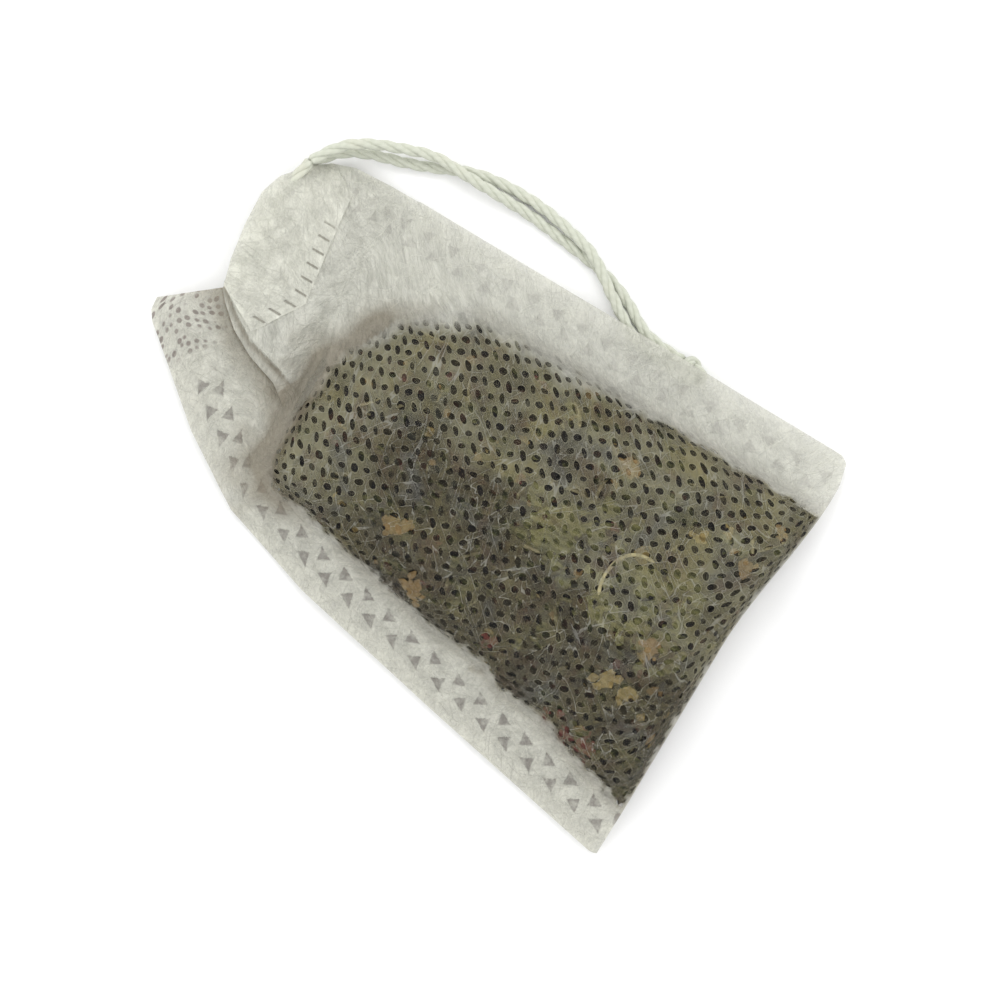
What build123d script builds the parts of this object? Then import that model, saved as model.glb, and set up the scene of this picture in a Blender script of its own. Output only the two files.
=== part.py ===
"""Drawstring herb pouch: a small heat-sealed bag of white non-woven filter cloth, filled with dried herbs.

The pouch lies on its back. +X is its right-hand side, +Y points to the mouth, +Z is up through the front.
The origin is the centre of the pouch's footprint, on the surface that it lies on. Sizes are in millimetres.

One sheet is folded at the bottom and welded along both sides. The mouth is hemmed and half drawn shut: the
left corner is gathered in under the front flap, and the drawstring is threaded through it between the flaps.
Both strands leave at the right-hand end of the mouth as the pull loop, which ends in a knot.
"""

import os
from math import hypot, pi, radians, tan

from build123d import *

os.makedirs("parts", exist_ok=True)

# ---- driving dimensions ----
WIDTH = 50.0  # flat width of the pouch
LENGTH = 70.0  # flat length, from the bottom fold to the top of the left corner
SHEET = 0.3  # thickness of the non-woven
SEAL_WIDTH = 6.6  # width of each welded side seam
SEAL_THICKNESS = 0.5  # two sheets welded into one
SEAM_Z = 3.4  # height of the plane in which the front and back sheets meet
CORD = 1.15  # diameter of one strand of the drawstring
MOUTH_GAP = 3.25  # free height between the front and back flaps

# ---- derived places ----
RIGHT = WIDTH / 2
BOTTOM = -LENGTH / 2
TOP = LENGTH / 2
SEAL_INNER = RIGHT - SEAL_WIDTH
SEAL_TOP = 23.6  # the right-hand seam ends here, below the hem
MOUTH_Y = 29.6  # top edge of the flaps
HEM_Y = 22.2  # lower edge of the hems
HEM_END_X = 21.5  # the hems' open end, where the strands leave
FLAP_RIGHT = 17.0  # the flaps slope down to the right-hand seam from here
RAMP_Y = 15.2  # the flaps rise from the seam plane here,
FLAP_Y = 17.0  # and are level from here up
GATHER_Y = 17.0  # the gathered left corner starts above this line
GATHER_GAP = 0.2
PLEAT = [(-0.4, 16.6), (6.2, MOUTH_Y)]  # the flaps' left-hand edge, a pleat over the gathered corner
CORD_Y = MOUTH_Y - 1.2
STRAND_RISE = 0.925  # each strand's height above or below the seam plane, between the flaps
PIVOT_X = HEM_END_X + 1.0  # the pull loop bends about a vertical axis here
TURN_X = 7.5  # centre of the drawstring's turn in the gathered corner

# corners of the pouch's left-hand edge, which leans in towards the gathered corner: (y, x)
LEFT_EDGE = [(BOTTOM, -RIGHT), (-12.0, -20.7), (6.0, -16.8), (GATHER_Y, -13.4), (26.0, -7.6)]

# ---- the free loop's route, strand by strand, from the pivot to the knot ----
FLOOR_Z = CORD / 2 + 0.03  # a strand that lies on the floor
OVER_Z = FLOOR_Z + CORD + 0.15  # a strand that crosses over the other
KNOT_AT = (24.3, -17.6, 1.35)
OUTER_ROUTE = [
    (PIVOT_X, CORD_Y, SEAM_Z + STRAND_RISE),
    (25.3, 27.0, 3.9),
    (27.4, 24.2, 3.0),
    (28.8, 20.9, 2.2),
    (29.5, 17.2, OVER_Z),
    (29.1, 13.4, OVER_Z),
    (29.1, 9.5, 1.3),
    (29.4, 5.6, FLOOR_Z),
    (29.1, 1.6, FLOOR_Z),
    (28.9, -2.0, FLOOR_Z),
    (28.3, -5.3, FLOOR_Z),
    (27.1, -8.2, FLOOR_Z),
    (25.4, -10.8, FLOOR_Z),
    (24.9, -13.5, 0.75),
    (24.9, -16.2, 1.1),
]
INNER_ROUTE = [
    (PIVOT_X, CORD_Y, SEAM_Z - STRAND_RISE),
    (25.0, 26.7, 1.8),
    (26.6, 23.7, 1.2),
    (27.6, 20.2, 0.75),
    (28.3, 16.6, FLOOR_Z),
    (29.8, 13.1, FLOOR_Z),
    (30.6, 9.3, FLOOR_Z),
    (30.8, 5.4, FLOOR_Z),
    (30.3, 1.6, 1.2),
    (29.4, -2.2, OVER_Z),
    (27.6, -5.0, OVER_Z),
    (25.8, -7.8, 1.4),
    (24.0, -10.7, 0.8),
    (23.5, -13.6, 0.75),
    (23.7, -16.2, 1.1),
]

# ---- the herb fill's outline, and how it narrows towards the front and the back ----
FILL_OUTLINE = [
    (-17.9, -34.4),
    (18.0, -34.4),
    (18.0, 6.0),
    (13.0, 12.2),
    (4.7, 14.9),
    (-2.4, 14.6),
    (-7.2, 12.4),
    (-10.0, 4.0),
    (-13.4, -11.0),
]
FILL_CENTRE = (2.0, -10.0)
FRONT_STEPS = [(1.0, 0.0), (0.94, 2.4), (0.84, 4.3), (0.66, 5.9)]  # share of the outline, height
BACK_STEPS = [(1.0, 0.0), (0.9, -1.8), (0.78, -3.1)]


def scaled_outline(share):
    """The fill's outline, drawn in towards its centre."""
    cx, cy = FILL_CENTRE
    return [(cx + share * (x - cx), cy + share * (y - cy)) for x, y in FILL_OUTLINE]


def mound(steps, lift=0.0):
    """A solid through the fill's outline at steps of (share, height) from the seam plane."""
    with BuildPart() as stack:
        for (low_share, low_z), (high_share, high_z) in zip(steps, steps[1:]):
            with BuildSketch(Plane.XY.offset(SEAM_Z + low_z + lift)):
                Polygon(*scaled_outline(low_share), align=None)
            with BuildSketch(Plane.XY.offset(SEAM_Z + high_z + lift)):
                Polygon(*scaled_outline(high_share), align=None)
            loft(ruled=True)
    return stack.part


def plate(points, z_low, z_high):
    """A flat plate with the given corners."""
    with BuildPart() as flat:
        with BuildSketch(Plane.XY.offset(z_low)):
            Polygon(*points, align=None)
        extrude(amount=z_high - z_low)
    return flat.part


def save(builder, name):
    builder.part.label = name
    export_step(builder.part, f"parts/{name}.step")


# ---- the welded side seams ----
TRIANGLE = 1.25  # size of one weld mark
TRIANGLE_PITCH = 3.1
TRIANGLE_DEPTH = 0.12
MARK_INSET = 2.8  # from the pouch's edge to the outer row of marks
ROW_OFFSET = 1.8  # from the outer row to the inner one


def left_edge(y):
    """x of the pouch's left-hand edge."""
    for (y_low, x_low), (y_high, x_high) in zip(LEFT_EDGE, LEFT_EDGE[1:]):
        if y <= y_high or y_high == LEFT_EDGE[-1][0]:
            return x_low + (x_high - x_low) * (y - y_low) / (y_high - y_low)


def left_line(y_low, y_high, inset):
    """Points beside the left-hand edge, from y_low up to y_high."""
    heights = [y_low] + [y for y, x in LEFT_EDGE if y_low < y < y_high] + [y_high]
    return [(left_edge(y) + inset, y) for y in heights]


def left_strip(y_low, y_high):
    """Corners of the welded strip along the left-hand edge."""
    return left_line(y_low, y_high, 0.0) + left_line(y_low, y_high, SEAL_WIDTH)[::-1]


def weld_marks(rows, lean):
    """The triangular marks pressed into a seam's front. rows holds lists of their places."""
    with BuildPart() as marks:
        with BuildSketch(Plane.XY.offset(SEAM_Z + SEAL_THICKNESS / 2)):
            for number, row in enumerate(rows):
                with Locations(*row):
                    RegularPolygon(TRIANGLE / 2, 3, rotation=lean + 180.0 * number)
        extrude(amount=-TRIANGLE_DEPTH)
    return marks.part


def mark_heights(y_low, y_high):
    count = int((y_high - y_low) / TRIANGLE_PITCH)
    return [y_low + TRIANGLE_PITCH * (k + 0.5) for k in range(count)]


def left_rows(heights):
    """Two staggered rows of marks along the left-hand edge."""
    outer = [(left_edge(y) + MARK_INSET, y) for y in heights]
    stagger = TRIANGLE_PITCH / 2
    inner = [(left_edge(y - stagger) + MARK_INSET + ROW_OFFSET, y - stagger) for y in heights[1:]]
    return [outer, inner]


SEAL_Z = (SEAM_Z - SEAL_THICKNESS / 2, SEAM_Z + SEAL_THICKNESS / 2)
with BuildPart() as right_side_seal:
    add(plate([(SEAL_INNER, BOTTOM), (RIGHT, BOTTOM), (RIGHT, SEAL_TOP), (SEAL_INNER, SEAL_TOP)], *SEAL_Z))
    fillet(right_side_seal.edges().filter_by(Axis.Z).group_by(Axis.X)[-1], 1.2)
    right_heights = mark_heights(BOTTOM + 1, SEAL_TOP - 1)
    right_rows = [
        [(RIGHT - MARK_INSET, y) for y in right_heights],
        [(RIGHT - MARK_INSET - ROW_OFFSET, y + TRIANGLE_PITCH / 2) for y in right_heights[:-1]],
    ]
    add(weld_marks(right_rows, lean=180.0), mode=Mode.SUBTRACT)
save(right_side_seal, "right_side_seal")

with BuildPart() as left_side_seal:
    add(plate(left_strip(BOTTOM, GATHER_Y), *SEAL_Z))
    add(weld_marks(left_rows(mark_heights(BOTTOM + 1, GATHER_Y - 1)), lean=12.0), mode=Mode.SUBTRACT)
save(left_side_seal, "left_side_seal")


# ---- the front and back sheets, and the fold that joins them at the bottom ----
POCKET_FOOTPRINT = [
    (PLEAT[0][0], RAMP_Y),
    (SEAL_INNER, RAMP_Y),
    (SEAL_INNER, SEAL_TOP),
    (FLAP_RIGHT, SEAL_TOP),
    (FLAP_RIGHT, MOUTH_Y),
    PLEAT[1],
    PLEAT[0],
]


def pocket(side, lift=0.0):
    """The space between the seam plane and the front (side 1) or back (side -1) flap."""
    beyond = PLEAT[0][0] - 5.0
    with BuildPart() as block:
        with BuildSketch(Plane.XY.offset(SEAM_Z + lift)):
            Polygon((beyond, RAMP_Y), (SEAL_INNER, RAMP_Y), (SEAL_INNER, TOP), (beyond, TOP), align=None)
        with BuildSketch(Plane.XY.offset(SEAM_Z + side * MOUTH_GAP / 2 + lift)):
            Polygon((beyond, FLAP_Y), (FLAP_RIGHT, FLAP_Y), (FLAP_RIGHT, TOP), (beyond, TOP), align=None)
        loft(ruled=True)
        add(plate(POCKET_FOOTPRINT, 0.0, 2 * SEAM_Z), mode=Mode.INTERSECT)
    return block.part


def flap_z(side, plies):
    """Height of the flap's inner face, or of a face that many plies further out."""
    return SEAM_Z + side * (MOUTH_GAP / 2 + plies * SHEET)


def pouch_sheet(side, steps):
    """The front (side 1) or back (side -1) sheet: flange, bulge over the fill, and flap at the mouth."""
    low = BOTTOM + SHEET
    flange = [
        (SEAL_INNER, low),
        (SEAL_INNER, RAMP_Y + 0.3),
        (PLEAT[0][0] - 0.3, RAMP_Y + 0.3),
        (PLEAT[0][0] - 0.3, GATHER_Y),
    ]
    outlet = [
        (FLAP_RIGHT - 0.5, SEAL_TOP),
        (HEM_END_X, SEAL_TOP),
        (HEM_END_X, MOUTH_Y),
        (FLAP_RIGHT - 0.5, MOUTH_Y),
    ]
    with BuildPart() as sheet:
        add(plate(flange + left_line(low, GATHER_Y, SEAL_WIDTH)[::-1], SEAM_Z, SEAM_Z + side * SHEET))
        add(pocket(side, lift=side * SHEET))
        add(pocket(side), mode=Mode.SUBTRACT)
        add(plate(outlet, *sorted((flap_z(side, 0), flap_z(side, 1)))))
        add(mound(steps, lift=side * SHEET))
        add(mound(steps), mode=Mode.SUBTRACT)
    return sheet


front_sheet = pouch_sheet(1, FRONT_STEPS)
back_sheet = pouch_sheet(-1, BACK_STEPS)
save(front_sheet, "front_sheet")
save(back_sheet, "back_sheet")

with BuildPart() as bottom_fold:
    with BuildSketch(Plane.YZ.offset(-RIGHT + SEAL_WIDTH)):
        with Locations((BOTTOM + SHEET, SEAM_Z)):
            Circle(SHEET)
        with Locations((BOTTOM + 1.5 * SHEET, SEAM_Z)):
            Rectangle(SHEET, 2 * SHEET, mode=Mode.SUBTRACT)
    extrude(amount=WIDTH - 2 * SEAL_WIDTH)
save(bottom_fold, "bottom_fold")

# ---- the hems: a ply turned over each flap's edge and welded down with a row of dashes ----
DASH_LENGTH, DASH_WIDTH, DASH_PITCH, DASH_DEPTH = 1.4, 0.25, 1.5, 0.1
DASH_COUNT = 9


def hem(side):
    """The turned-over ply on the outside of the front (side 1) or back (side -1) flap."""
    lean = (PLEAT[1][0] - PLEAT[0][0]) / (PLEAT[1][1] - PLEAT[0][1])
    pleat_x = PLEAT[1][0] - lean * (MOUTH_Y - HEM_Y)
    ply = [
        (pleat_x, HEM_Y),
        (FLAP_RIGHT, HEM_Y),
        (FLAP_RIGHT, SEAL_TOP),
        (HEM_END_X, SEAL_TOP),
        (HEM_END_X, MOUTH_Y + SHEET),
        (PLEAT[1][0], MOUTH_Y + SHEET),
        PLEAT[1],
    ]
    fold = [
        (PLEAT[1][0], MOUTH_Y),
        (HEM_END_X, MOUTH_Y),
        (HEM_END_X, MOUTH_Y + SHEET),
        (PLEAT[1][0], MOUTH_Y + SHEET),
    ]
    outside = flap_z(side, 2)
    with BuildPart() as turned:
        add(plate(ply, *sorted((flap_z(side, 1), outside))))
        add(plate(fold, *sorted((flap_z(side, 0), outside))))
        with BuildSketch(Plane.XY.offset(outside)):
            with Locations((pleat_x + 7.5, HEM_Y + DASH_LENGTH / 2 + 0.3)):
                with GridLocations(DASH_PITCH, 1.0, DASH_COUNT, 1):
                    Rectangle(DASH_WIDTH, DASH_LENGTH)
        extrude(amount=-side * DASH_DEPTH, mode=Mode.SUBTRACT)
    return turned


save(hem(1), "front_hem")
save(hem(-1), "back_hem")

# ---- the gathered left corner: both plies and their seam, drawn in by the string ----
GATHER_LOW = GATHER_Y + GATHER_GAP
CORNER_Y = 26.0  # the corner's side seam ends here, at its hem
CORNER = (-0.4, 33.3)  # centre of the rounded top corner
TONGUE_X = 9.5  # the plies run on between the flaps as far as this
HOLE_X = TURN_X - STRAND_RISE  # the drawstring's turn goes through the plies here


def gathered_ply(side):
    outline = left_line(GATHER_LOW, CORNER_Y, SEAL_WIDTH) + [
        (left_edge(CORNER_Y), CORNER_Y),
        (CORNER[0] - 1.6, CORNER[1] + 0.5),
        (CORNER[0] - 0.6, TOP - 0.4),
        (CORNER[0] + 0.6, TOP),
        (CORNER[0] + 2.0, TOP),
        (PLEAT[1][0] - 0.4, MOUTH_Y + SHEET),
        (TONGUE_X, MOUTH_Y),
        (TONGUE_X, GATHER_LOW),
    ]
    with BuildPart() as ply:
        add(plate(outline, *sorted((SEAM_Z, SEAM_Z + side * SHEET))))
        with BuildSketch(Plane.XY.offset(SEAM_Z - SHEET)):
            with Locations((HOLE_X, CORD_Y)):
                RectangleRounded(CORD + 0.5, CORD + 0.3, 0.5)
        extrude(amount=2 * SHEET, mode=Mode.SUBTRACT)
    return ply


save(gathered_ply(1), "gathered_corner_front")
save(gathered_ply(-1), "gathered_corner_back")

with BuildPart() as gathered_corner_seal:
    add(plate(left_strip(GATHER_LOW, CORNER_Y), *SEAL_Z))
    add(weld_marks(left_rows(mark_heights(GATHER_LOW, CORNER_Y)), lean=25.0), mode=Mode.SUBTRACT)
save(gathered_corner_seal, "gathered_corner_seal")

# ---- the drawstring between the flaps: front strand, turn and back strand in one piece ----
RUN_END_X = PIVOT_X - CORD / 2 - 0.05
with BuildPart() as drawstring:
    with BuildLine() as run_path:
        Line((RUN_END_X, CORD_Y, SEAM_Z + STRAND_RISE), (TURN_X, CORD_Y, SEAM_Z + STRAND_RISE))
        ThreePointArc(
            (TURN_X, CORD_Y, SEAM_Z + STRAND_RISE),
            (TURN_X - STRAND_RISE, CORD_Y, SEAM_Z),
            (TURN_X, CORD_Y, SEAM_Z - STRAND_RISE),
        )
        Line((TURN_X, CORD_Y, SEAM_Z - STRAND_RISE), (RUN_END_X, CORD_Y, SEAM_Z - STRAND_RISE))
    with BuildSketch(Plane(origin=(RUN_END_X, CORD_Y, SEAM_Z + STRAND_RISE), z_dir=(-1, 0, 0))):
        Circle(CORD / 2)
    sweep(path=run_path.line)
save(drawstring, "drawstring_in_hem")


# ---- the free loop: two limp strands and their knot ----
def route_radii(points):
    """The arc that each corner of a route has room for: 0.45 of its shorter run over tan(half turn)."""
    radii = []
    for before, at, after in zip(points, points[1:], points[2:]):
        run_in, run_out = Vector(*at) - Vector(*before), Vector(*after) - Vector(*at)
        turn = radians(run_in.get_angle(run_out))
        radii.append(0.45 * min(run_in.length, run_out.length) / tan(turn / 2))
    return radii


def strand(points, name):
    """One strand of the loop: straight runs joined by tangent arcs, with a round end at the pivot."""
    radii = route_radii(points)
    with BuildPart() as tube:
        with BuildLine() as path:
            FilletPolyline(*points, radius=radii)
        with BuildSketch(Plane(origin=points[0], z_dir=Vector(*points[1]) - Vector(*points[0]))):
            Circle(CORD / 2)
        sweep(path=path.line)
        length = path.wire().length
        expected = pi * (CORD / 2) ** 2 * length
        print(f"{name}: {length:.1f} mm long, radii {[round(r, 1) for r in radii]} mm")
        print(f"{name}: volume {tube.part.volume:.2f} mm3, of {expected:.2f} mm3 expected")
        with Locations(points[0]):
            Sphere(CORD / 2)
    return tube


outer_strand = strand(OUTER_ROUTE, "pull_strand_outer")
inner_strand = strand(INNER_ROUTE, "pull_strand_inner")
save(outer_strand, "pull_strand_outer")
save(inner_strand, "pull_strand_inner")

KNOT_SIZE = (1.5, 1.75, 1.3)  # half sizes of the overhand knot
KNOT_STEPS = [(1.0, 0.8), (0.5, 1.0), (-0.5, 1.0), (-1.0, 0.5)]  # share of its length, share of its girth
with BuildPart() as pull_knot:
    for along, girth in KNOT_STEPS:
        with BuildSketch(Plane.XZ.offset(-KNOT_AT[1] - along * KNOT_SIZE[1])):
            with Locations((KNOT_AT[0], KNOT_AT[2])):
                Ellipse(KNOT_SIZE[0] * girth, KNOT_SIZE[2] * girth)
    loft(ruled=True)
    add(outer_strand.part, mode=Mode.SUBTRACT)
    add(inner_strand.part, mode=Mode.SUBTRACT)
save(pull_knot, "pull_knot")

# ---- the herb fill: a bed of fine herb, with larger pieces set into its top ----
PLATEAU_SHARE, PLATEAU_RISE = FRONT_STEPS[-1]
FLAKE_DEPTH = 0.5
SPOT_PITCH = 3.3
SPOT_COLUMNS, SPOT_ROWS = 8, 12
SPOT_MARGIN = 1.6  # from the edge of the bed's top
# name, number of sides (0 is a straight sliver) and radius
HERBS = [
    ("green_leaf_flakes", 6, 1.45),
    ("bark_chips", 4, 1.25),
    ("dark_leaf_flakes", 5, 1.4),
    ("yellow_petals", 4, 1.1),
    ("grey_leaf_flakes", 7, 1.4),
    ("stem_pieces", 0, 1.4),
    ("orange_peel_chips", 5, 1.0),
    ("red_petals", 3, 1.2),
    ("seeds", 8, 0.55),
]


def on_plateau(x, y):
    """Whether a place is far enough inside the edge of the bed's top."""
    outline = scaled_outline(PLATEAU_SHARE)
    for (x0, y0), (x1, y1) in zip(outline, outline[1:] + outline[:1]):
        inside = ((x1 - x0) * (y - y0) - (y1 - y0) * (x - x0)) / hypot(x1 - x0, y1 - y0)
        if inside < SPOT_MARGIN:
            return False
    return True


def herb_spots():
    """Places on the bed's top, in staggered rows."""
    cx, cy = FILL_CENTRE
    spots = []
    for row in range(SPOT_ROWS):
        for column in range(SPOT_COLUMNS):
            x = cx + (column - SPOT_COLUMNS / 2 + 0.5 * (row % 2)) * SPOT_PITCH
            y = cy + (row - SPOT_ROWS / 2) * SPOT_PITCH * 0.87
            if on_plateau(x, y):
                spots.append((x, y))
    return spots


def herb_group(number, sides, size, spots):
    """The pieces of one kind, each a flake, sliver or seed set level with the bed's top."""
    with BuildPart() as group:
        with BuildSketch(Plane.XY.offset(SEAM_Z + PLATEAU_RISE)):
            for index, spot in enumerate(spots[number :: len(HERBS)]):
                with Locations(spot):
                    if sides:
                        RegularPolygon(size, sides, rotation=37.0 * index)
                    else:
                        Rectangle(2 * size, 0.5, rotation=37.0 * index)
        extrude(amount=-FLAKE_DEPTH)
    return group


all_spots = herb_spots()
groups = [herb_group(number, sides, size, all_spots) for number, (_, sides, size) in enumerate(HERBS)]
for group, (name, _, _) in zip(groups, HERBS):
    save(group, name)

with BuildPart() as herb_bed:
    add(mound(FRONT_STEPS))
    add(mound(BACK_STEPS))
    for group in groups:
        add(group.part, mode=Mode.SUBTRACT)
save(herb_bed, "herb_bed")
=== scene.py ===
"""Looks of the drawstring herb pouch: two plies of translucent non-woven over a bed of coarse dried herbs.

Work is in millimetres up to the last step of each mesh, in the frame of the CAD model: +Y to the mouth, +Z up.
"""

from functools import reduce
from math import cos, pi, radians, sin

import bpy
import numpy as np
from mathutils import Matrix, Vector


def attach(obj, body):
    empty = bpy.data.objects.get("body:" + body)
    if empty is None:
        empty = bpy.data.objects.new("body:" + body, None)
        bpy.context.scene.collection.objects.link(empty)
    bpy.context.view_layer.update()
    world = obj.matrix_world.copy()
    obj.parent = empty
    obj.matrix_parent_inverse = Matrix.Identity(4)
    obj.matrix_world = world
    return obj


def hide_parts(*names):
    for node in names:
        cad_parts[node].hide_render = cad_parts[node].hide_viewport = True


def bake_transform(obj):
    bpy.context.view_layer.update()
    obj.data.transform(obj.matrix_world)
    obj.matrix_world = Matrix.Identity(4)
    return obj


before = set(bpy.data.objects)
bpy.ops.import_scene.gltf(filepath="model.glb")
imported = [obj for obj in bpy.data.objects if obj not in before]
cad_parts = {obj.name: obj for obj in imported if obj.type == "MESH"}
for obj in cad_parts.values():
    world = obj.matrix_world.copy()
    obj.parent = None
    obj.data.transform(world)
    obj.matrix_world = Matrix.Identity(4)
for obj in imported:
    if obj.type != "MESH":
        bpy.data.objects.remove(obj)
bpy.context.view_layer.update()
scene = bpy.context.scene
scene.view_settings.view_transform = "Standard"
MM = 0.001

# ---- camera ----
LOOK_AT = Vector((2.2, -7.1, 0.0)) * MM
VIEW_RIGHT = Vector((0.515, -0.857, 0.0)).normalized()
VIEW_UP = Vector((0.857, 0.515, 0.0)).normalized()
DISTANCE = 0.5
VIEW_WIDTH, VIEW_LEVEL = 0.1055, 0.004  # how much the camera sees across, and at what height

camera = bpy.data.objects.new("camera", bpy.data.cameras.new("camera"))
scene.collection.objects.link(camera)
turn = Matrix((VIEW_RIGHT, VIEW_UP, Vector((0, 0, 1)))).transposed()
camera.matrix_world = Matrix.Translation(LOOK_AT + Vector((0, 0, DISTANCE))) @ turn.to_4x4()
camera.data.lens = camera.data.sensor_width * (DISTANCE - VIEW_LEVEL) / VIEW_WIDTH
camera.data.clip_start = 0.01
scene.camera = camera


# ---- smooth random fields ----
def waves(x, y, size, seed, count=28):
    """A smooth random field of about -1 to 1, with features of the given size."""
    chance = np.random.default_rng(seed)
    total = 0.0
    for _ in range(count):
        angle, phase = chance.uniform(0, 2 * pi, 2)
        pull = 2 * pi / size * chance.uniform(0.55, 1.35)
        total = total + np.sin(pull * (x * cos(angle) + y * sin(angle)) + phase)
    return total / np.sqrt(count / 2) / 1.6


def smooth(t):
    """0 up to 0, 1 from 1 on, smooth between."""
    t = np.clip(t, 0.0, 1.0)
    return t * t * (3 - 2 * t)


def bell(t, width):
    return np.exp(-((t / width) ** 2) / 2)


# ---- meshes ----
def add_mesh(name, points, faces, material, uv=None, attributes=None, smooth_shading=True):
    """A mesh object from points in mm. uv holds maps of one value pair per point, attributes one value per point."""
    mesh = bpy.data.meshes.new(name)
    mesh.from_pydata((np.asarray(points) * MM).tolist(), [], [list(map(int, f)) for f in faces])
    corners = np.zeros(len(mesh.loops), np.int32)
    mesh.loops.foreach_get("vertex_index", corners)
    for label, pairs in (uv or {}).items():
        layer = mesh.uv_layers.new(name=label)
        layer.data.foreach_set("uv", np.asarray(pairs, np.float32)[corners].ravel())
    for label, values in (attributes or {}).items():
        layer = mesh.attributes.new(label, "FLOAT", "POINT")
        layer.data.foreach_set("value", np.asarray(values, np.float32))
    mesh.polygons.foreach_set("use_smooth", np.full(len(mesh.polygons), smooth_shading))
    mesh.materials.append(material)
    mesh.update()
    thing = bpy.data.objects.new(name, mesh)
    scene.collection.objects.link(thing)
    return thing


def grid_faces(rows, columns, flip=False, wrap=False):
    """Faces between the points of a grid, which wrap closes into a tube."""
    faces = []
    for i in range(rows - 1):
        for j in range(columns if wrap else columns - 1):
            k = (j + 1) % columns
            quad = (i * columns + j, i * columns + k, (i + 1) * columns + k, (i + 1) * columns + j)
            faces.append(quad[::-1] if flip else quad)
    return faces


def merged(parts):
    """Joins meshes, each given as points and faces, into one."""
    faces, base = [], 0
    for points, part_faces in parts:
        faces += [tuple(i + base for i in face) for face in part_faces]
        base += len(points)
    return np.concatenate([points for points, _ in parts]), faces


def lengths(points):
    """How far along a line each of its points is."""
    steps = np.linalg.norm(np.diff(points, axis=0), axis=1)
    return np.concatenate([[0.0], np.cumsum(steps)])


def along(points, shares):
    """Points at the given shares of a line's length."""
    points = np.asarray(points, float)
    reach = lengths(points)
    at = np.asarray(shares) * reach[-1]
    return np.stack([np.interp(at, reach, points[:, k]) for k in range(points.shape[1])], -1)


# ---- node trees, written as sums ----
class Value:
    """A socket of a node tree. Arithmetic on it adds Math nodes."""

    def __init__(self, tree, socket):
        self.tree, self.socket = tree, socket

    def math(self, operation, *others, clamp=False):
        node = self.tree.nodes.new("ShaderNodeMath")
        node.operation = operation
        node.use_clamp = clamp
        for place, item in enumerate((self, *others)):
            connect(self.tree, item, node.inputs[place])
        return Value(self.tree, node.outputs[0])

    def __add__(self, other):
        return self.math("ADD", other)

    def __sub__(self, other):
        return self.math("SUBTRACT", other)

    def __mul__(self, other):
        return self.math("MULTIPLY", other)

    def __truediv__(self, other):
        return self.math("DIVIDE", other)

    __radd__ = __add__
    __rmul__ = __mul__

    def ramp(self, low, high):
        """0 at low, 1 at high, smooth between."""
        node = self.tree.nodes.new("ShaderNodeMapRange")
        node.interpolation_type = "SMOOTHSTEP"
        connect(self.tree, self, node.inputs["Value"])
        node.inputs["From Min"].default_value = low
        node.inputs["From Max"].default_value = high
        return Value(self.tree, node.outputs["Result"])


def connect(tree, item, socket):
    """Links a Value to a socket, or sets the socket to a constant."""
    if isinstance(item, Value):
        tree.links.new(item.socket, socket)
    else:
        socket.default_value = item


def new_material(name):
    material = bpy.data.materials.new(name)
    material.use_nodes = True
    material.node_tree.nodes.clear()
    return material, material.node_tree


def node(tree, kind, output=0, **inputs):
    """Adds a node and returns one of its outputs. Names of inputs are given with _ for a space."""
    made = tree.nodes.new(kind)
    for key, item in inputs.items():
        connect(tree, item, made.inputs[key.replace("_", " ")])
    return Value(tree, made.outputs[output])


def split(tree, pair):
    """The first two parts of a vector."""
    parts = tree.nodes.new("ShaderNodeSeparateXYZ")
    connect(tree, pair, parts.inputs[0])
    return Value(tree, parts.outputs[0]), Value(tree, parts.outputs[1])


def most(values):
    """The largest of several values."""
    return reduce(lambda one, other: one.math("MAXIMUM", other), values)


def uv_pair(tree, label):
    """The two values, in mm, of a UV map that is stored in units of 100 mm."""
    source = tree.nodes.new("ShaderNodeUVMap")
    source.uv_map = label
    x, y = split(tree, Value(tree, source.outputs[0]))
    return x * 100.0, y * 100.0


def attribute(tree, label):
    source = tree.nodes.new("ShaderNodeAttribute")
    source.attribute_name = label
    return Value(tree, source.outputs["Fac"])


def vector(tree, x, y, z=0.0):
    return node(tree, "ShaderNodeCombineXYZ", X=x, Y=y, Z=z)


def noise(tree, at, scale, detail=2.0, distortion=0.0, roughness=0.5, output=0):
    inputs = {"Vector": at, "Scale": scale, "Detail": detail, "Distortion": distortion, "Roughness": roughness}
    return node(tree, "ShaderNodeTexNoise", output, **inputs)


def mix_colour(tree, share, first, second):
    made = tree.nodes.new("ShaderNodeMix")
    made.data_type = "RGBA"
    connect(tree, share, made.inputs["Factor"])
    for item, socket in ((first, made.inputs[6]), (second, made.inputs[7])):
        connect(tree, item if isinstance(item, Value) else (*item, 1.0), socket)
    return Value(tree, made.outputs[2])


def mix_shader(tree, share, first, second):
    made = tree.nodes.new("ShaderNodeMixShader")
    connect(tree, share, made.inputs[0])
    tree.links.new(first.socket, made.inputs[1])
    tree.links.new(second.socket, made.inputs[2])
    return Value(tree, made.outputs[0])


def put_out(tree, shader):
    output = tree.nodes.new("ShaderNodeOutputMaterial")
    tree.links.new(shader.socket, output.inputs["Surface"])


def bump(tree, height, distance, strength):
    return node(tree, "ShaderNodeBump", Height=height, Distance=distance, Strength=strength)


def principled(tree, colour, roughness, normal, specular, **more):
    inputs = {"Base_Color": colour, "Roughness": roughness, "Normal": normal, "Specular_IOR_Level": specular}
    return node(tree, "ShaderNodeBsdfPrincipled", **inputs, **more)


# ---- the non-woven ----
DOT_PITCH, DOT_ROW = 1.53, 1.277
TRIANGLE_PITCH = 3.23


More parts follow.
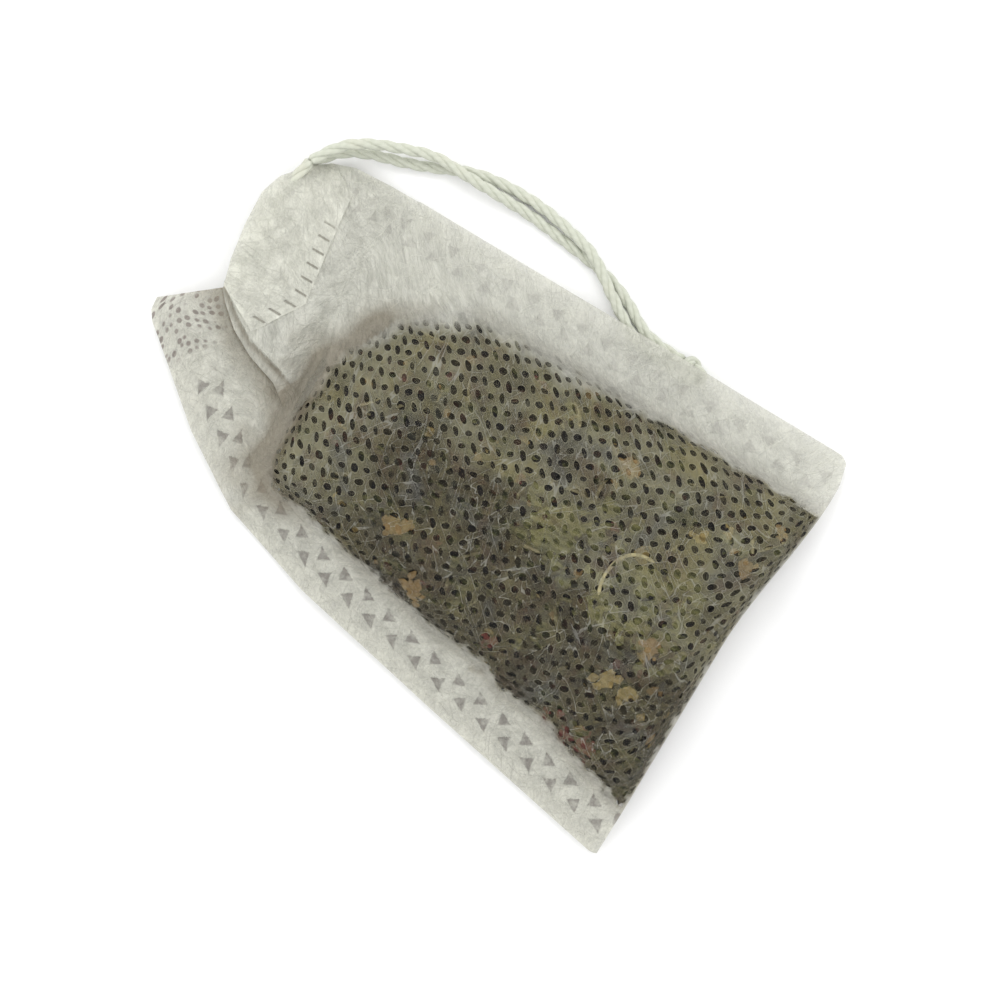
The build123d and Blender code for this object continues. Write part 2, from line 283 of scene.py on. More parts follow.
def bond_dots(tree, x, y):
    """The thermal bond points: ovals in staggered rows, turned the other way in every other row.
    Returns the see-through middle of each point, the pale rim around it and a number of its own."""
    at = vector(tree, x, y)
    sway = split(tree, noise(tree, at, 0.11, 1.0, output=1))
    wobble = split(tree, noise(tree, at, 0.9, 0.0, output=1))
    x = x + (sway[0] - 0.5) * 0.9 + (wobble[0] - 0.5) * 0.3
    y = y + (sway[1] - 0.5) * 0.9 + (wobble[1] - 0.5) * 0.3
    row_place = y / DOT_ROW
    row = row_place.math("FLOOR")
    odd = row.math("FLOORED_MODULO", 2.0)
    across = x / DOT_PITCH + row * 0.5
    column = across.math("FLOOR")
    px = (across - column - 0.5) * DOT_PITCH
    py = (row_place - row - 0.5) * DOT_ROW
    lean = odd * radians(105.0) + radians(-58.0)
    c, s = lean.math("COSINE"), lean.math("SINE")
    cell = node(tree, "ShaderNodeTexWhiteNoise", 0, Vector=vector(tree, column, row))
    size = cell * 0.28 + 0.9
    long_way = (px * c + py * s) / 0.43
    short_way = (py * c - px * s) / 0.29
    reach = (long_way * long_way + short_way * short_way).math("SQRT") / size
    middle = reach.ramp(1.13, 0.91)
    rim = reach.ramp(0.96, 1.13) * reach.ramp(1.44, 1.15)
    return middle, rim, cell


def noise_lines(tree, x, y, turn_by, seed, squeeze, detail, width):
    """Thin lines where a noise, stretched along one direction, is at its mean."""
    c, s = cos(radians(turn_by)), sin(radians(turn_by))
    at = vector(tree, (x * c + y * s) * squeeze[0] + seed, (y * c - x * s) * squeeze[1] + seed, seed)
    return (noise(tree, at, 1.0, *detail) - 0.5).math("ABSOLUTE").ramp(*width)


def fibres(tree, x, y):
    """Fine curved fibres in several directions, as a mask of thin lines."""
    sets = ((12.0, 0.0), (58.0, 9.1), (-37.0, 17.7))
    return most([noise_lines(tree, x, y, *way, (0.1, 0.85), (0.6, 0.12), (0.01, 0.002)) for way in sets])


def within_step(step):
    """Place within a step of a pattern that repeats, from -0.5 to 0.5."""
    return step - step.math("FLOOR") - 0.5


def weld_triangles(inset, run):
    """Two staggered rows of triangular weld marks along an edge."""
    rows = []
    for row_inset, shift, lean in ((2.8, 0.0, 40.0), (4.6, 0.53, 220.0)):
        q = within_step(run / TRIANGLE_PITCH + shift) * TRIANGLE_PITCH
        p = inset - row_inset
        sides = [radians(lean + 120.0 * k) for k in range(3)]
        rows.append(most([p * cos(angle) + q * sin(angle) for angle in sides]).ramp(0.55, 0.38))
    return most(rows)


# the weld line of the hem: its lowest point, and its slopes to the right and the left of that
HEM_BEND, HEM_Y, HEM_SLOPES = 9.3, 22.0, (0.14, -0.62)
DASH_PITCH = 1.55


def weld_dashes(x, y):
    """The row of short dashes that holds the hem down."""
    line = most([(x - HEM_BEND) * slope for slope in HEM_SLOPES]) + HEM_Y
    px = within_step(x / DASH_PITCH) * DASH_PITCH
    dash = px.math("ABSOLUTE").ramp(0.15, 0.07) * (y - line).math("ABSOLUTE").ramp(0.75, 0.6)
    return dash * x.ramp(3.4, 3.9) * x.ramp(18.2, 17.6)


def creases(tree, x, y):
    """Soft pale creases, as a mask of wide lines."""
    sets = ((30.0, 3.0), (-50.0, 23.0), (85.0, 41.0))
    return most([noise_lines(tree, x, y, *way, (0.16, 0.55), (2.0, 0.3), (0.03, 0.0)) for way in sets])


# Vertex attributes of the cloth: how solid it looks between its bond points, how clearly the bond points show, how
# much of the seams' weld pattern shows, how much painted warm shadow is in it, how dark the bond points of the
# turned-over corner are, how much the herbs colour it, and how dark that colour is: partly the herbs' own darker
# colour, partly painted shade where they lie deeper under the cloth.
CLOTH_STATE = ("veil", "windows", "band", "shade", "stain", "tint", "deep")


def cloth_material(name, pale, hair=0.75, dashes=False):
    """Non-woven filter cloth. It reads the vertex attributes of CLOTH_STATE."""
    material, tree = new_material(name)
    x, y = uv_pair(tree, "Cloth")
    at = vector(tree, x, y)
    middle, rim, cell = bond_dots(tree, x, y)
    lines = fibres(tree, x, y) * hair
    folds = creases(tree, x, y)
    cloud = noise(tree, at, 0.5, 4.0, 0.5)
    fine = noise(tree, at, 2.6, 4.0, 0.8, 0.65)
    veil, windows, band, shade, stain, tint, deep = (attribute(tree, label) for label in CLOTH_STATE)
    inset, run = uv_pair(tree, "Seam")
    worn = noise(tree, at, 1.1, 2.0).ramp(0.3, 0.62)
    marks = weld_triangles(inset + (fine - 0.5) * 0.5, run + (cloud - 0.5) * 0.9) * band * (worn * 0.6 + 0.4)
    hole = middle * windows * (cell * 0.2 + 0.8)
    ring = rim * windows
    calm = tint * -0.55 + 1.0
    solid = veil * ((cloud - 0.5) * 0.9 + (fine - 0.5) * 0.7 * calm + 1.0) + ring * 0.16 + lines * 0.2 * calm
    solid = (solid * (hole * -0.98 + 1.0)).math("MAXIMUM", 0.015, clamp=True)
    tone = (cloud * 0.6 + fine * 0.4).ramp(0.3, 0.68)
    colour = mix_colour(tree, tone, [c * 0.84 for c in pale], [c * 1.06 for c in pale])
    # the herbs' colour in the cloth, which deep darkens: partly the herbs' own darker colour, partly painted shade
    # where they lie deeper. The patches mixed in below are colours of herbs.
    herb_tint_and_shade = mix_colour(tree, deep, (0.475, 0.45, 0.275), (0.165, 0.138, 0.068))
    patch = noise(tree, at, 0.2, 3.0, 0.6)
    herb_tint_and_shade = mix_colour(tree, patch.ramp(0.5, 0.66) * (deep * -0.4 + 0.75), herb_tint_and_shade, (0.4, 0.35, 0.14))
    herb_tint_and_shade = mix_colour(tree, patch.ramp(0.47, 0.3) * 0.6, herb_tint_and_shade, (0.2, 0.205, 0.2))
    other = noise(tree, vector(tree, x + 40.0, y + 7.0), 0.24, 3.0, 0.6)
    herb_tint_and_shade = mix_colour(tree, other.ramp(0.52, 0.68) * 0.6, herb_tint_and_shade, (0.22, 0.145, 0.09))
    colour = mix_colour(tree, tint * 0.94, colour, herb_tint_and_shade)
    threads = lines * (tint * 0.3 + 0.35) + folds * 0.4 * (tint * -0.8 + 1.0)
    colour = mix_colour(tree, threads.math("MINIMUM", 1.0), colour, (0.7, 0.7, 0.63))
    colour = mix_colour(tree, ring * (deep * -0.12 + 0.34), colour, (0.56, 0.53, 0.38))
    colour = mix_colour(tree, marks * 0.8, colour, (0.27, 0.25, 0.235))
    speck = node(tree, "ShaderNodeTexVoronoi", 0, Vector=at, Scale=1.15, Randomness=0.45).ramp(0.42, 0.26)
    colour = mix_colour(tree, speck * stain, colour, (0.27, 0.235, 0.22))
    # painted warm shade: the shade attribute mixes the colour towards a warm brown
    colour = mix_colour(tree, shade, colour, (0.27, 0.23, 0.165))
    height = lines * 0.22 + ring * 0.4 + fine * 0.6 + cloud * 0.7 + folds * 0.35 - hole * 0.8 - marks * 0.7
    if dashes:
        dash = weld_dashes(*uv_pair(tree, "Rest"))
        colour = mix_colour(tree, dash * 0.75, colour, (0.24, 0.22, 0.18))
        height = height - dash * 0.9
    normal = bump(tree, height, 0.00016, 0.9)
    face = principled(tree, colour, 0.75, normal, 0.25)
    glow = node(tree, "ShaderNodeBsdfTranslucent", Color=colour, Normal=normal)
    body = mix_shader(tree, 0.38, face, glow)
    clear = node(tree, "ShaderNodeBsdfTransparent")
    put_out(tree, mix_shader(tree, solid, clear, body))
    return material


# ---- the pouch's outline ----
# Lines of x, y: the left-hand edge, the gathered corner's edge, the right-hand edge and mouth of the front and the
# back ply, the outer fold of the pleat, and the edge of the front flap next to it.
LEFT_EDGE = [(-25.0, -35.2), (-20.6, -12.2), (-16.8, 6.1), (-13.4, 16.8)]
EAR_EDGE = [(-13.4, 16.8), (-8.4, 24.7), (-1.7, 32.8), (-0.6, 34.2), (0.5, 35.0), (1.9, 35.15)]
FRONT_RIGHT_TOP = [(24.85, 16.8), (24.8, 20.0), (24.5, 24.2), (23.6, 26.6), (21.9, 28.6), (19.6, 29.9)]
BACK_RIGHT_TOP = [(24.85, 16.8), (24.8, 20.0), (24.2, 24.5), (22.7, 28.3), (20.3, 30.0)]
FOLD_LINE = [(-1.9, 16.8), (0.3, 19.9), (1.4, 23.3), (3.0, 26.3), (5.0, 28.6), (6.2, 29.6)]
FLAP_LINE = [(0.6, 16.8), (1.7, 19.6), (2.9, 24.2), (4.4, 26.6), (6.6, 29.5)]
GATHER_START = 16.8
BOTTOM = -35.2
FLAP_START = 15.8
FRONT_FREE = -34.9, 18.4, 18.9  # lowest and highest y and largest x where the front ply isn't held
HERB_EDGE = [  # corner of the fill, and how far the cloth takes to climb over the side that starts there
    ((-19.1, -35.15), 4.0),
    ((18.3, -35.15), 8.0),
    ((17.9, 4.6), 8.0),
    ((13.0, 12.2), 5.0),
    ((4.7, 15.7), 2.8),
    ((-6.2, 15.65), 3.2),
    ((-10.0, 13.6), None),
]
HERB_LEFT = [(-19.1, -35.15), (-17.0, -27.6), (-15.0, -22.6), (-14.9, -17.8), (-13.3, -13.6)]
HERB_LEFT += [(-12.9, -7.4), (-10.7, 3.7), (-9.3, 11.2), (-9.0, 15.8)]
HERB_LEFT_CLIMB, HERB_LEFT_LEAN = 7.0, 0.975
FRONT_RISE, BACK_DROP = 6.1, 3.2
# where light green leaf lies in heaps: x, y, radius
LEAF_HEAPS = [(3.0, -12.5, 3.2), (1.6, -17.2, 3.4), (-0.5, -23.5, 3.8)]
LEAF_HEAPS += [(-2.6, -29.2, 3.0), (2.8, -27.5, 3.4), (6.0, -19.0, 2.4)]


def left_x(y):
    """Where the left-hand edge is, up to the tip of the gathered corner."""
    xs, ys = zip(*(LEFT_EDGE + EAR_EDGE[1:]))
    return np.interp(y, ys, xs)


def seam_height(x, y):
    """Where the front and back plies meet. The right-hand edge lies over the free loop's knot, which lifts it there,
    and the left-hand edge lies near the floor."""
    edge = 1.15 + 1.85 * bell(y + 17.4, 3.1) + 0.95 * bell(y + 9.2, 2.8) + 0.25 * waves(y, y * 0, 17.0, 5)
    right = smooth((x - 17.3) / 8.2)
    left = smooth(1 - (x - left_x(y)) / 7.5)
    middle = 3.25 - 0.5 * smooth((-31.0 - y) / 4.5)
    height = middle * (1 - right) + edge * right
    height = height * (1 - left) + (1.1 + 0.25 * waves(y, y * 0, 14.0, 8)) * left
    return height + 0.12 * waves(x, y, 11.0, 3)


def side_distances(x, y):
    """How far inside each side of the fill a place is. The last is the left-hand side, which isn't straight."""
    result = []
    corners = [np.array(corner) for corner, _ in HERB_EDGE]
    for a, b in zip(corners, corners[1:]):
        run = (b - a) / np.linalg.norm(b - a)
        result.append(run[0] * (y - a[1]) - run[1] * (x - a[0]))
    edge_x, edge_y = zip(*HERB_LEFT)
    result.append((x - np.interp(y, edge_y, edge_x)) * HERB_LEFT_LEAN)
    return result


def herb_height(x, y, rise):
    """Height of the fill's top above the seam, 0 outside it."""
    height = rise * (0.78 + 0.22 * bell(y + 15.0, 15.0) * bell(x - 2.0, 11.0))
    climbs = [climb for _, climb in HERB_EDGE[:-1]] + [HERB_LEFT_CLIMB]
    for inside, climb in zip(side_distances(x, y), climbs):
        share = np.clip((inside + 0.35 * waves(x, y, 4.5, 21)) / climb, 0.0, 1.0)
        height = height * np.sqrt(1 - (1 - share) ** 2)
    return height * (1 + 0.05 * waves(x, y, 5.5, 12) + 0.025 * waves(x, y, 2.3, 13))


def inside_fill(x, y):
    """How far inside the fill a place is, negative outside it."""
    return np.min(side_distances(x, y), axis=0)


SLANT_START = -19.0


def slanted(points):
    """Lengthens the pouch towards its bottom right-hand corner, which is a little lower than the left-hand one."""
    x, y = points[:, 0], points[:, 1]
    drop = 2.0 * smooth((x - 1.0) / 20.0) - 0.6 * smooth((x - 21.5) / 3.5)
    share = np.clip((SLANT_START - y) / (SLANT_START - BOTTOM), 0, 1)
    return np.stack([x, y - drop * share, points[:, 2]], -1)


def flap_height(x, y, side):
    """Height of the front (side 1) or back (side -1) flap at the mouth, over or under the drawstring."""
    gap = 1.75 * smooth((y - FLAP_START) / 4.6) * smooth((24.9 - x) / 5.0)
    puff = 0.22 * bell(y - 28.6, 0.8) * smooth((x - 4.0) / 3.0)
    return seam_height(x, y) + side * (gap + puff) + 0.1 * waves(x, y, 5.0, 44)


def valley_depth(x, y):
    """1 in the valley where the front ply turns from the fill up to the flap, beside the gathered corner."""
    return bell(y - 16.9 - 0.04 * x, 0.45) * smooth((6.5 - x) / 4.0)


GRID = 0.5
GRID_X = np.arange(-27.0, 27.01, GRID)
GRID_Y = np.arange(-37.0, 37.01, GRID)
TAUT_PASSES = 900


def taut_cloth():
    """Heights of the front ply: drawn tight over the fill, between the seams, the fold and the flap."""
    x, y = np.meshgrid(GRID_X, GRID_Y)
    seam = seam_height(x, y)
    herb = herb_height(x, y, FRONT_RISE)
    floor = np.where(herb > 0.05, seam + herb + 0.16, seam)
    flap = flap_height(x, y, 1)
    y_low, y_high, x_high = FRONT_FREE
    held = (side_distances(x, y)[-1] < -0.2) | (x > x_high) | (y < y_low) | (y > y_high)
    fixed = np.where(y > FLAP_START, flap, seam)
    valley = valley_depth(x, y)
    fixed = fixed - (fixed - seam - 0.35) * valley
    held |= valley > 0.6
    height = np.maximum(floor, np.where(held, fixed, seam + 3.0))
    for _ in range(TAUT_PASSES):
        spread = height.copy()
        spread[1:-1, 1:-1] = (height[:-2, 1:-1] + height[2:, 1:-1] + height[1:-1, :-2] + height[1:-1, 2:]) / 4
        height = np.where(held, fixed, np.maximum(spread, floor))
    return height


def read_grid(grid, x, y):
    """Smooth reading of a height grid at any place."""
    gx, gy = (x - GRID_X[0]) / GRID, (y - GRID_Y[0]) / GRID
    ix = np.clip(np.floor(gx).astype(int), 1, len(GRID_X) - 3)
    iy = np.clip(np.floor(gy).astype(int), 1, len(GRID_Y) - 3)
    tx, ty = gx - ix, gy - iy

    def weights(t):
        return (
            (-t + 2 * t**2 - t**3) / 2,
            (2 - 5 * t**2 + 3 * t**3) / 2,
            (t + 4 * t**2 - 3 * t**3) / 2,
            (t**3 - t**2) / 2,
        )

    total = 0.0
    for a, wy in zip((-1, 0, 1, 2), weights(ty)):
        for b, wx in zip((-1, 0, 1, 2), weights(tx)):
            total = total + wy * wx * grid[iy + a, ix + b]
    return total


FRAMES, SIMULATED_SCALE = 24, 10
CLOTH_SETTINGS = {"quality": 6, "mass": 0.12, "vertex_group_mass": "held", "shrink_min": -0.035}
CLOTH_SETTINGS |= {"bending_stiffness": 1.2, "air_damping": 3.0}


def draped(taut):
    """Lets the front ply, held at the seams, settle over the fill as cloth with a little slack. It is simulated at
    a larger scale, where Blender's collisions are exact enough. Returns heights on the same grid."""
    x, y = np.meshgrid(GRID_X, GRID_Y)
    rows, columns = x.shape
    faces = grid_faces(rows, columns)
    floor = np.where(inside_fill(x, y) > -1.5, seam_height(x, y) + herb_height(x, y, FRONT_RISE) + 0.02, -3.0)
    looks, _ = new_material("simulation_only")
    made = []
    for name, z in (("fill_shape", floor), ("loose_ply", taut + 0.5 * smooth((inside_fill(x, y) + 1) / 4))):
        made.append(add_mesh(name, np.stack([x, y, z], -1).reshape(-1, 3) * SIMULATED_SCALE, faces, looks))
    fill, ply = made
    fill.modifiers.new("hit", "COLLISION")
    fill.collision.thickness_outer = 0.001
    fill.collision.cloth_friction = 20.0
    y_low, y_high, x_high = FRONT_FREE
    inside_seams = (side_distances(x, y)[-1] > 0.1) & (x < x_high) & (y > y_low + 0.1) & (y < y_high - 0.2)
    near_valley = valley_depth(x, y) > 0.6
    held = ply.vertex_groups.new(name="held")
    held.add(np.flatnonzero(~(inside_seams & ~near_valley).ravel()).tolist(), 1.0, "REPLACE")
    cloth = ply.modifiers.new("cloth", "CLOTH")
    for setting, value in CLOTH_SETTINGS.items():
        setattr(cloth.settings, setting, value)
    cloth.collision_settings.distance_min = 0.001
    cloth.collision_settings.use_self_collision = False
    cloth.point_cache.frame_end = FRAMES
    for step in range(1, FRAMES + 1):
        scene.frame_set(step)
    settled = ply.evaluated_get(bpy.context.evaluated_depsgraph_get()).to_mesh()
    places = np.zeros(len(settled.vertices) * 3)
    settled.vertices.foreach_get("co", places)
    heights = places.reshape(rows, columns, 3)[:, :, 2] / MM / SIMULATED_SCALE
    ply.evaluated_get(bpy.context.evaluated_depsgraph_get()).to_mesh_clear()
    for thing in made:
        bpy.data.objects.remove(thing)
    scene.frame_set(1)
    return np.maximum(np.minimum(heights, taut + 1.2), np.where(floor > 0, floor + 0.08, taut - 1.0))


front_grid = taut_cloth()
front_grid = draped(front_grid)
flat_x, flat_y = np.meshgrid(GRID_X, GRID_Y)
seam_grid = seam_height(flat_x, flat_y)
flap_grids = {side: flap_height(flat_x, flat_y, side) for side in (1, -1)}
herb_grids = {
    1: seam_grid + herb_height(flat_x, flat_y, FRONT_RISE),
    -1: np.maximum(seam_grid - herb_height(flat_x, flat_y, BACK_DROP), 0.4),
}
back_fill = np.minimum(herb_grids[-1] - 0.12, seam_grid - 0.08)
back_grid = np.maximum(np.where(flat_y > FLAP_START, flap_grids[-1], back_fill), 0.06)

# ---- the two sheets ----
STEP = 0.28
LOWER_ROWS = int((GATHER_START - BOTTOM) / STEP)
UPPER_ROWS = 84
COLUMNS = 205
RIGHT_EDGE = 24.95
SEAM_GAP = 0.02
# heights across the ear and the pleat, from the left-hand edge to the flap
FRONT_LEVELS = [1.7, 2.2, 2.5, 2.6, 2.75, 3.1, 3.35, 3.5, 4.05, 4.5, 4.75]
BACK_LEVELS = [1.5, 1.9, 2.1, 2.2, 2.3, 2.1, 2.0, 2.0, 1.9, 1.85, 1.75]


def rounded(points, times=2):
    """Cuts a line's corners."""
    for _ in range(times):
        cut = [points[0]]
        for a, b in zip(points, points[1:]):
            cut += [a * 0.75 + b * 0.25, a * 0.25 + b * 0.75]
        points = cut + [points[-1]]
    return np.array(points)


def sheet_rows(side):
    """Rows of points from the left-hand to the right-hand edge of one ply, from the bottom fold to the mouth."""
    rows = []
    shares = np.linspace(0, 1, COLUMNS)
    for k in range(LOWER_ROWS):
        y = BOTTOM + STEP * k
        left, right = left_x(y), RIGHT_EDGE
        corner = max(0.0, 1.0 - (y - BOTTOM) / 1.0)
        left, right = left + 0.35 * corner**2, right - 0.6 * corner**2
        x = left + (right - left) * shares
        bow = 0.25 * waves(x, y, 19.0, 61) * smooth((x - left) / 3) * smooth((right - x) / 3)
        ys = y + bow * smooth((y - BOTTOM) / 3)
        rows.append(np.stack([x, ys, ply_height(x, ys, side)], -1))
    right_top = FRONT_RIGHT_TOP if side > 0 else BACK_RIGHT_TOP
    for k in range(UPPER_ROWS):
        t = k / (UPPER_ROWS - 1)
        left, right = along(EAR_EDGE, [t])[0], along(right_top, [t])[0]
        fold, flap = along(FOLD_LINE, [t])[0], along(FLAP_LINE, [t])[0]
        grown = smooth(t / 0.3)
        angle = radians(-10.0 - 39.0 * t)
        under = fold + (4.4 if side > 0 else 2.6) * grown * np.array([cos(angle), sin(angle)])
        tuck = flap + 1.3 * grown * np.array([1.0, -0.1])
        if side < 0:
            tuck, flap = fold + 1.6 * grown * np.array([1.0, 0.0]), fold + 1.0 * grown * np.array([0.6, 0.3])
        lift = smooth(t / 0.22)
        inner = [flap + (right - flap) * s for s in (0.12, 0.3, 0.5, 0.7, 0.85)]
        ear = [left + (under - left) * s for s in (0.25, 0.5, 0.75)]
        levels = FRONT_LEVELS if side > 0 else BACK_LEVELS
        folded = [under, fold + 0.08 * (under - fold), fold, fold + 0.12 * (tuck - fold), tuck]
        folded.append(flap + 0.3 * (tuck - flap))
        knots = []
        for point, level in zip([left, *ear, *folded, flap], levels):
            base = ply_height(point[0], point[1], side)
            knots.append([point[0], point[1], base + (level - base) * lift])
        for point in [*inner, right]:
            knots.append([point[0], point[1], flap_or_ply(point[0], point[1], side, lift)])
        line = rounded([np.array(knot) for knot in knots])
        rows.append(along(line, shares))
    rows = np.array(rows)
    for k, share in enumerate((1.0, 0.75, 0.45, 0.2)):
        seam = read_grid(seam_grid, rows[k, :, 0], rows[k, :, 1]) + SEAM_GAP * side
        rows[k, :, 2] += share * (seam - rows[k, :, 2])
    for j, share in ((0, 1.0), (1, 0.6), (2, 0.3), (-1, 1.0), (-2, 0.6), (-3, 0.3)):
        seam = read_grid(seam_grid, rows[:LOWER_ROWS, j, 0], rows[:LOWER_ROWS, j, 1]) + SEAM_GAP * side
        rows[:LOWER_ROWS, j, 2] += share * (seam - rows[:LOWER_ROWS, j, 2])
    return rows


def ply_height(x, y, side):
    """Height of the front (side 1) or back (side -1) ply."""
    return read_grid(front_grid if side > 0 else back_grid, np.asarray(x, float), np.asarray(y, float)) + 0.04 * side


def flap_or_ply(x, y, side, lift):
    """Height between the ply, where lift is 0, and the flap, where it is 1."""
    base = ply_height(x, y, side)
    return float(base + (read_grid(flap_grids[side], np.asarray(x), np.asarray(y)) - base) * lift)


def relax(rows, times):
    """Softens a grid of points a little, keeping its border."""
    for _ in range(times):
        mean = (rows[:-2, 1:-1] + rows[2:, 1:-1] + rows[1:-1, :-2] + rows[1:-1, 2:]) / 4
        rows[1:-1, 1:-1] += 0.5 * (mean - rows[1:-1, 1:-1])
    return rows


def run_along(rows, axis):
    """How far along its row (axis 1) or column (axis 0) each point of a grid is."""
    steps = np.cumsum(np.linalg.norm(np.diff(rows, axis=axis), axis=2), axis)
    return np.insert(steps, 0, 0.0, axis)


MAP_PASSES = 260


def cloth_maps(rows):
    """UV maps of a sheet's rows, in units of 100 mm: Cloth runs along the cloth, Rest is the place seen from above,
    Seam is how far in from the nearer side edge and how far up it."""
    u, v = run_along(rows, 1), run_along(rows, 0)
    seam_run = np.repeat(lengths(rows[:, 0, :2])[:, None], rows.shape[1], 1)
    inset = np.where(rows[:, :, 0] < 0, u, u[:, -1:] - u)
    for _ in range(MAP_PASSES):
        u[1:-1] = (u[:-2] + 2 * u[1:-1] + u[2:]) / 4
        v[:, 1:-1] = (v[:, :-2] + 2 * v[:, 1:-1] + v[:, 2:]) / 4
    pairs = {"Cloth": (u, v), "Rest": (rows[:, :, 0], rows[:, :, 1]), "Seam": (inset, seam_run)}
    return {label: np.stack([a.ravel(), b.ravel()], -1) / 100.0 for label, (a, b) in pairs.items()}


MOST_SHADE = 0.8


def warm_shade(x, y, z, u, upper, inside):
    """How much painted warm shade goes into the front ply's colour: shadow under the flap, in the pleat and the
    valley, and round the fill, where the same brown also stands for the herbs seen blurred through the cloth that
    stands off them. The left-hand band is also made a little darker.
    """
    shade = np.zeros(x.shape)
    fold = np.array(FOLD_LINE)
    from_fold = x - np.interp(y, fold[:, 1], fold[:, 0])
    under = smooth(upper * 4) * (u < 9.5 + 6 * (1 - upper))
    shade += 0.54 * under * smooth((from_fold + 3.4) / 3.2)
    flap = np.array(FLAP_LINE)
    from_flap = x - np.interp(y, flap[:, 1], flap[:, 0])
    strip = smooth(upper * 4) * (from_fold > -0.1) * (from_flap < 0.15) * (z < 4.5)
    shade += strip * (0.2 + 0.4 * smooth((from_flap + 0.7) / 0.6))
    shade += 0.4 * bell(np.hypot(x - 1.0, (y - 16.0) * 1.3), 1.3)
    shade += 0.4 * bell(y - 16.6, 0.9) * smooth((9 - x) / 4) * smooth((x + 11) / 3)
    shade += 0.4 * bell(inside + 0.4, 1.0) * smooth((y - 6) / 5)
    shade += 0.3 * bell(inside + 1.1, 1.1) * smooth((y - 10.5) / 2.0) * smooth((15.0 - x) / 4.0)
    shade += 0.42 * bell(np.hypot(x - 10.8, y - 13.4), 1.9) * (inside < 0.3)
    shade += 0.28 * bell(inside + 0.25, 0.75) * smooth((8.0 - y) / 4.0)
    shade += 0.1 * smooth((7.8 - u) / 1.0)
    behind_flap = smooth((y - 14.5) / 2.0) * smooth((22.5 - y) / 3.0) * smooth((10.5 - x) / 4.0)
    shade += (0.2 + 0.12 * waves(x, y, 3.4, 51)) * behind_flap
    return shade


def cloth_state(rows, side):
    """The vertex attributes that the cloth's material reads."""
    x, y, z = rows[:, :, 0], rows[:, :, 1], rows[:, :, 2]
    upper = np.zeros(x.shape)
    upper[LOWER_ROWS:] = np.linspace(0, 1, UPPER_ROWS)[:, None]
    inside = inside_fill(x, y)
    gap = np.abs(z - read_grid(herb_grids[side], x, y))
    crisp = smooth((6.0 - x) / 2.0) * smooth((y - 11.0) / 2.0)
    ragged = inside + (0.22 * waves(x, y, 4.5, 21) + 0.22 * waves(x, y, 1.6, 24, 40)) * (1 - 0.7 * crisp)
    blur = 0.8 - 0.5 * crisp + 2.0 * smooth((x - 3.0) / 9.0) * smooth((y + 20.0) / 14.0)
    over_fill = smooth((ragged + 0.25) / blur) * (upper < 0.04)
    contact = over_fill * (1 - smooth((gap - 0.8) / 2.4))
    thin_to = 4.5 + 0.33 * np.minimum(y + 8.0, 0.0)
    lower_right = smooth((x - thin_to + 2.2) / 4.4)
    light = np.maximum(smooth((y - 3.0) / 9.0), 0.72 * lower_right)
    near = 0.36 + 0.1 * light + 0.05 * waves(x, y, 9.0, 33) + 0.04 * waves(x, y, 3.5, 34)
    for heap_x, heap_y, radius in LEAF_HEAPS:
        heap = smooth((radius - np.hypot(x - heap_x, y - heap_y)) / 1.6 + 0.5)
        near = near - 0.04 * heap
        light = np.maximum(light, 0.62 * heap)
    # how dark the herbs' colour in the cloth is, away from the lighter zones: partly the herbs' own darker colour,
    # partly painted shade where they lie deeper
    deep = np.clip(1.0 - light + 0.22 * waves(x, y, 6.0, 35) + 0.12 * waves(x, y, 2.4, 36), 0, 1)
    near = np.maximum(near, 0.24)
    near += (0.45 - near) * smooth((-34.9 - y) / 0.25)
    open_veil = 0.8 - 0.22 * smooth((x - 17.0) / 3.0) * smooth((22.0 - y) / 5.0)
    # a strip along the valley where the cloth is more see-through and the herbs under it are coloured dark: partly
    # the herbs seen, partly painted shade in the valley
    valley_strip = smooth((0.55 - np.abs(y - 16.25)) / 0.3) * smooth((6.0 - x) / 1.6) * smooth((x + 2.5) / 2.5) * (side > 0)
    veil = open_veil + (near - open_veil) * contact
    veil = veil + (0.4 - veil) * valley_strip
    u = run_along(rows, 1)
    band = smooth((7.4 - u) / 1.0) * (1 - smooth((upper - 0.52) / 0.08))
    band += 0.36 * smooth((x - 18.2) / 1.0) * smooth((27.0 - y) / 2.0)
    stain = smooth((upper - 0.66) / 0.06) * smooth((8.5 - u) / 1.5) * 0.9
    windows = np.clip(contact * 1.3 + 0.05, 0, 1) * (1 - smooth((-34.9 - y) / 0.25))
    shade = warm_shade(x, y, z, u, upper, inside) if side > 0 else np.zeros(x.shape)
    if side > 0:
        # a pale line along the crease at the fill's top edge, painted as more solid cloth: a painted highlight on the
        # crease
        ridge = bell(y - 15.45 + 0.04 * x, 0.16) * smooth((5.0 - x) / 1.0) * smooth((x + 5.5) / 3.0)
        veil += 0.45 * ridge
    deep = np.maximum(deep * contact, 0.9 * valley_strip)
    flat = [veil, windows, band, np.clip(shade, 0, MOST_SHADE), stain, np.maximum(contact, valley_strip), deep]
    return dict(zip(CLOTH_STATE, [item.ravel() for item in flat]))


PALE = (0.74, 0.74, 0.672)
front_cloth_look = cloth_material("nonwoven_front", PALE)
hem_look = cloth_material("nonwoven_hem", [min(c * 1.14, 0.86) for c in PALE], hair=0.3, dashes=True)
back_cloth_look = cloth_material("nonwoven_back", PALE)


def make_sheet(name, side, look, stands_for):
    """The front (side 1) or back (side -1) ply."""
    rows = relax(sheet_rows(side), 2)
    faces = grid_faces(len(rows), rows.shape[1], flip=side < 0)
    sheet = add_mesh(name, slanted(rows.reshape(-1, 3)), faces, look, cloth_maps(rows), cloth_state(rows, side))
    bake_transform(sheet)
    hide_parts(*stands_for)
    return sheet


